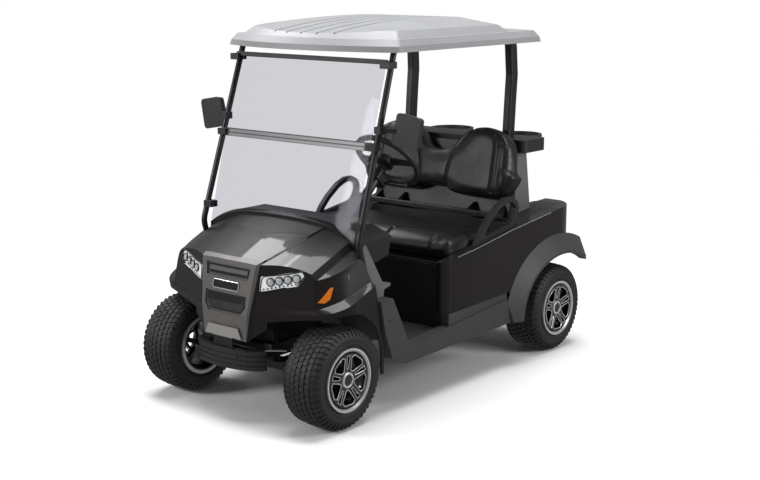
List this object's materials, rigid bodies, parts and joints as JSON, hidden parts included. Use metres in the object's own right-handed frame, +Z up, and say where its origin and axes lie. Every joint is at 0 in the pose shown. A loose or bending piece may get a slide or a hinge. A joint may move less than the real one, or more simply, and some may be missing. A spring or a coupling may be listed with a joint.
{
  "type": "golf cart",
  "caption": "Golf cart with a roof, a folding windshield, a bench seat, alloy wheels that steer and roll, and a bag well with a rack behind the seat.",
  "frame": {"origin": "on the ground under the middle of the bounding box", "axes": "+Y towards the rear, +X towards the cart's left, +Z up"},
  "size_m": [1.3736, 2.23, 1.7547],
  "materials": {
    "body_paint": "gloss",
    "grille_panel": "satin",
    "lamp_lens": "clear",
    "amber_lens": "gloss",
    "red_lens": "gloss",
    "black_steel": "satin",
    "forged_steel": "raw",
    "floor_plastic": "matte",
    "textured_plastic": "textured",
    "grey_plastic": "matte",
    "black_plastic": "matte",
    "seat_vinyl": "satin",
    "roof_plastic": "satin",
    "clear_pane": "clear",
    "bumper_rubber": "matte",
    "light_plate": "matte",
    "wheel_grip": "matte",
    "tyre": "matte",
    "alloy": "gloss"
  },
  "bodies": {
    "cart": {"front_body": "body_paint", "grille": "grille_panel", "headlamps": "lamp_lens", "side_markers": "amber_lens", "chassis_frame": "black_steel", "floor_pan": "floor_plastic", "rockers": "textured_plastic", "front_struts": "black_steel", "rear_body": "body_paint", "tail_lamps": "red_lens", "rear_flares": "textured_plastic", "bag_well": "black_plastic", "seat_base": "black_plastic", "seat_back": "seat_vinyl", "seat_back_frame": "black_steel", "hip_restraints": "black_plastic", "canopy": "roof_plastic", "rear_struts": "black_steel", "pillar_covers": "grey_plastic", "windshield_lower": "clear_pane", "windshield_upper": "clear_pane", "windshield_trim": "black_plastic", "mirrors": "black_plastic", "cowl_band": "black_plastic", "cowl_trim": "grey_plastic", "dash": "black_plastic", "steering_column": "black_steel", "pedals": "black_steel", "front_bumper": "bumper_rubber", "front_plates": "light_plate", "rear_bumper": "bumper_rubber", "bag_rack": "black_plastic", "front_axle": "black_steel", "rear_axle": "black_steel", "battery_pack": "black_plastic"},
    "seat": {"seat_pan": "black_plastic", "seat_cushion": "seat_vinyl"},
    "steering_wheel": {"steering_wheel": "wheel_grip"},
    "knuckle_left": {"knuckle_left": "forged_steel"},
    "knuckle_right": {"knuckle_right": "forged_steel"},
    "tie_rod": {"tie_rod": "forged_steel"},
    "wheel_front_left": {"tyre_front_left": "tyre", "rim_front_left": "alloy"},
    "wheel_front_right": {"tyre_front_right": "tyre", "rim_front_right": "alloy"},
    "wheel_rear_left": {"tyre_rear_left": "tyre", "rim_rear_left": "alloy"},
    "wheel_rear_right": {"tyre_rear_right": "tyre", "rim_rear_right": "alloy"}
  },
  "joints": [
    {"name": "knuckle_left_steer", "type": "hinge", "parent": "cart", "child": "knuckle_left", "pos_m": [0.335, -0.875, 0.23], "axis": [0, 0, 1], "range_deg": [-28, 28]},
    {"name": "knuckle_right_steer", "type": "hinge", "parent": "cart", "child": "knuckle_right", "pos_m": [-0.335, -0.875, 0.23], "axis": [0, 0, 1], "range_deg": [-28, 28]},
    {"name": "tie_rod_pivot", "type": "hinge", "parent": "knuckle_left", "child": "tie_rod", "pos_m": [0.335, -0.765, 0.213], "axis": [0, 0, 1], "range_deg": [-28, 28]},
    {"name": "steering_wheel_turn", "type": "hinge", "parent": "cart", "child": "steering_wheel", "pos_m": [0.245, -0.233, 1.1], "axis": [0, 0.7314, 0.682], "range_deg": [-340, 340]},
    {"name": "seat_lift", "type": "hinge", "parent": "cart", "child": "seat", "pos_m": [0, 0.399, 0.618], "axis": [-1, 0, 0], "range_deg": [0, 45]},
    {"name": "wheel_front_left_spin", "type": "hinge", "parent": "knuckle_left", "child": "wheel_front_left", "pos_m": [0.456, -0.875, 0.23], "axis": [1, 0, 0], "continuous": true},
    {"name": "wheel_front_right_spin", "type": "hinge", "parent": "knuckle_right", "child": "wheel_front_right", "pos_m": [-0.456, -0.875, 0.23], "axis": [1, 0, 0], "continuous": true},
    {"name": "wheel_rear_left_spin", "type": "hinge", "parent": "cart", "child": "wheel_rear_left", "pos_m": [0.472, 0.789, 0.23], "axis": [1, 0, 0], "continuous": true},
    {"name": "wheel_rear_right_spin", "type": "hinge", "parent": "cart", "child": "wheel_rear_right", "pos_m": [-0.472, 0.789, 0.23], "axis": [1, 0, 0], "continuous": true}
  ],
  "couplings": [
    {"joint": "knuckle_right_steer", "follows": "knuckle_left_steer", "ratio": 1},
    {"joint": "tie_rod_pivot", "follows": "knuckle_left_steer", "ratio": -1},
    {"joint": "steering_wheel_turn", "follows": "knuckle_left_steer", "ratio": 12}
  ]
}
